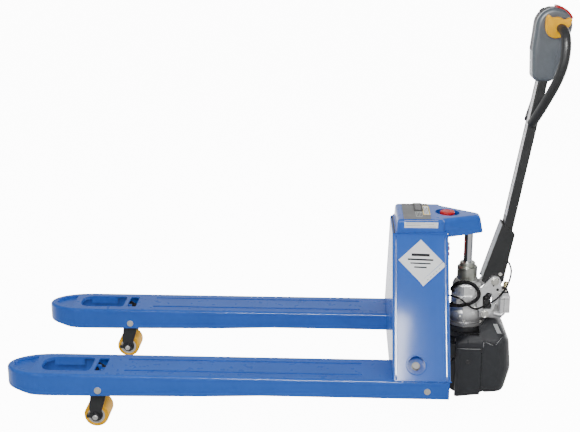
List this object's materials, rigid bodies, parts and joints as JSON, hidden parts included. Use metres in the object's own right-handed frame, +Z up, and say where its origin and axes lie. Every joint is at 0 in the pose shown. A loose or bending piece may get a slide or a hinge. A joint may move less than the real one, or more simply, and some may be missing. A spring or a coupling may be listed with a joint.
{
  "type": "powered pallet jack",
  "caption": "Blue two-fork powered pallet truck with leaning battery mast, single lift ram, steered drive unit and tall tiller with loop handles, shown raised.",
  "frame": {"origin": "on the floor under the middle of the truck's length and width", "axes": "+X towards the operator's end, +Z up, forks point to -X"},
  "size_m": [1.6585, 0.69, 1.2279],
  "materials": {
    "blue_paint": "gloss",
    "black_paint": "satin",
    "rod_chrome": "polished",
    "zinc": "satin",
    "cast_alloy": "bead blasted",
    "cylinder_steel": "machined",
    "cover_plastic": "fine texture",
    "head_plastic": "fine texture",
    "cap_plastic": "fine texture",
    "black_plastic": "satin",
    "panel_plastic": "satin",
    "yellow_plastic": "satin",
    "red_plastic": "gloss",
    "roller_urethane": "satin",
    "tyre_rubber": "matte",
    "cable_rubber": "matte"
  },
  "bodies": {
    "yoke": {"thrust_yoke": "black_paint", "cross_shaft": "zinc", "thrust_bearing": "zinc"},
    "chassis": {"fork_near": "blue_paint", "fork_far": "blue_paint", "well_walls": "blue_paint", "fork_braces": "blue_paint", "frame_axles": "zinc", "heel_pins": "zinc", "mast_side_near": "blue_paint", "mast_side_far": "blue_paint", "load_face_plate": "blue_paint", "rear_wall": "black_paint", "access_bolts": "zinc", "battery_pack": "black_plastic", "top_cover": "blue_paint", "top_panel": "panel_plastic", "lift_arm": "black_paint", "ram_rod": "rod_chrome", "estop_collar": "black_plastic", "disconnect_socket": "black_plastic"},
    "estop": {"estop_button": "red_plastic"},
    "disconnect": {"disconnect_handle": "red_plastic"},
    "drive_unit": {"pump_body": "cast_alloy", "lift_cylinder": "cylinder_steel", "gland_collar": "cylinder_steel", "pump_fasteners": "zinc", "drive_carrier": "black_paint", "drive_motor": "black_paint", "cover_dome": "cover_plastic", "cover_sides": "cover_plastic", "cover_rear": "cover_plastic", "tiller_brackets": "cast_alloy", "tiller_pin": "zinc", "valve_block": "black_plastic", "power_pack": "cast_alloy", "return_spring": "zinc", "cable_conduit": "cable_rubber", "tiller_cable": "cable_rubber"},
    "drive_wheel": {"drive_tyre": "tyre_rubber", "drive_hub": "zinc"},
    "tiller": {"tiller_channel": "black_paint", "tiller_tube": "black_paint", "loop_near": "black_paint", "loop_far": "black_paint", "head_near": "head_plastic", "head_far": "head_plastic", "head_cap": "cap_plastic"},
    "throttle": {"throttle_butterfly": "yellow_plastic"},
    "belly": {"belly_button": "red_plastic"},
    "lift_key": {"lift_button": "black_plastic"},
    "lower_key": {"lower_button": "black_plastic"},
    "near_frame": {"frame_near": "black_paint"},
    "far_frame": {"frame_far": "black_paint"},
    "near_roller": {"roller_near": "roller_urethane", "roller_hub_near": "zinc"},
    "far_roller": {"roller_far": "roller_urethane", "roller_hub_far": "zinc"},
    "rods": {"push_rods": "blue_paint"},
    "bell_cranks": {"rockers": "zinc"}
  },
  "joints": [
    {"name": "lift", "type": "slide", "parent": "yoke", "child": "chassis", "axis": [0, 0, 1], "range_m": [-0.11, 0]},
    {"name": "steer", "type": "hinge", "parent": "yoke", "child": "drive_unit", "pos_m": [0.561, 0, 0.232], "axis": [0, 0, 1], "range_deg": [-85, 85]},
    {"name": "drive_spin", "type": "hinge", "parent": "drive_unit", "child": "drive_wheel", "pos_m": [0.577, 0, 0.1], "axis": [0, 1, 0], "continuous": true},
    {"name": "tiller_tilt", "type": "hinge", "parent": "drive_unit", "child": "tiller", "pos_m": [0.643, 0, 0.388], "axis": [0, 1, 0], "range_deg": [0, 75], "stiffness_Nm_per_rad": 30, "springref_deg": -31.51, "deforming": ["tiller_cable"]},
    {"name": "throttle_twist", "type": "hinge", "parent": "tiller", "child": "throttle", "pos_m": [0.789, 0, 1.166], "axis": [0, 1, 0], "range_deg": [-35, 35], "stiffness_Nm_per_rad": 0.6},
    {"name": "belly_press", "type": "slide", "parent": "tiller", "child": "belly", "axis": [-0.5878, 0, -0.809], "range_m": [0, 0.005], "stiffness_N_per_m": 800, "springref_m": -0.003},
    {"name": "lift_press", "type": "slide", "parent": "tiller", "child": "lift_key", "axis": [0.6157, 0, -0.788], "range_m": [0, 0.0025], "stiffness_N_per_m": 500, "springref_m": -0.003},
    {"name": "lower_press", "type": "slide", "parent": "tiller", "child": "lower_key", "axis": [0.6157, 0, -0.788], "range_m": [0, 0.0025], "stiffness_N_per_m": 500, "springref_m": -0.003},
    {"name": "estop_press", "type": "slide", "parent": "chassis", "child": "estop", "axis": [0, 0, -1], "range_m": [0, 0.005]},
    {"name": "disconnect_pull", "type": "slide", "parent": "chassis", "child": "disconnect", "axis": [1, 0, 0], "range_m": [0, 0.012]},
    {"name": "frame_swing_near", "type": "hinge", "parent": "chassis", "child": "near_frame", "pos_m": [-0.542, -0.2625, 0.137], "axis": [0, 1, 0], "range_deg": [0, 86.1]},
    {"name": "frame_swing_far", "type": "hinge", "parent": "chassis", "child": "far_frame", "pos_m": [-0.542, 0.2625, 0.137], "axis": [0, 1, 0], "range_deg": [0, 86.1]},
    {"name": "roller_spin_near", "type": "hinge", "parent": "near_frame", "child": "near_roller", "pos_m": [-0.559, -0.2625, 0.037], "axis": [0, 1, 0], "continuous": true},
    {"name": "roller_spin_far", "type": "hinge", "parent": "far_frame", "child": "far_roller", "pos_m": [-0.559, 0.2625, 0.037], "axis": [0, 1, 0], "continuous": true},
    {"name": "rod_slide", "type": "slide", "parent": "chassis", "child": "rods", "axis": [1, 0, 0], "range_m": [0, 0.0411]},
    {"name": "rocker_swing", "type": "hinge", "parent": "chassis", "child": "bell_cranks", "pos_m": [0.422, 0, 0.154], "axis": [0, 1, 0], "range_deg": [0, 80.6]}
  ],
  "couplings": [
    {"joint": "frame_swing_near", "follows": "lift", "rad_per_m": -13.647},
    {"joint": "frame_swing_far", "follows": "lift", "rad_per_m": -13.647},
    {"joint": "rod_slide", "follows": "lift", "ratio": -0.372},
    {"joint": "rocker_swing", "follows": "lift", "rad_per_m": -12.768}
  ]
}
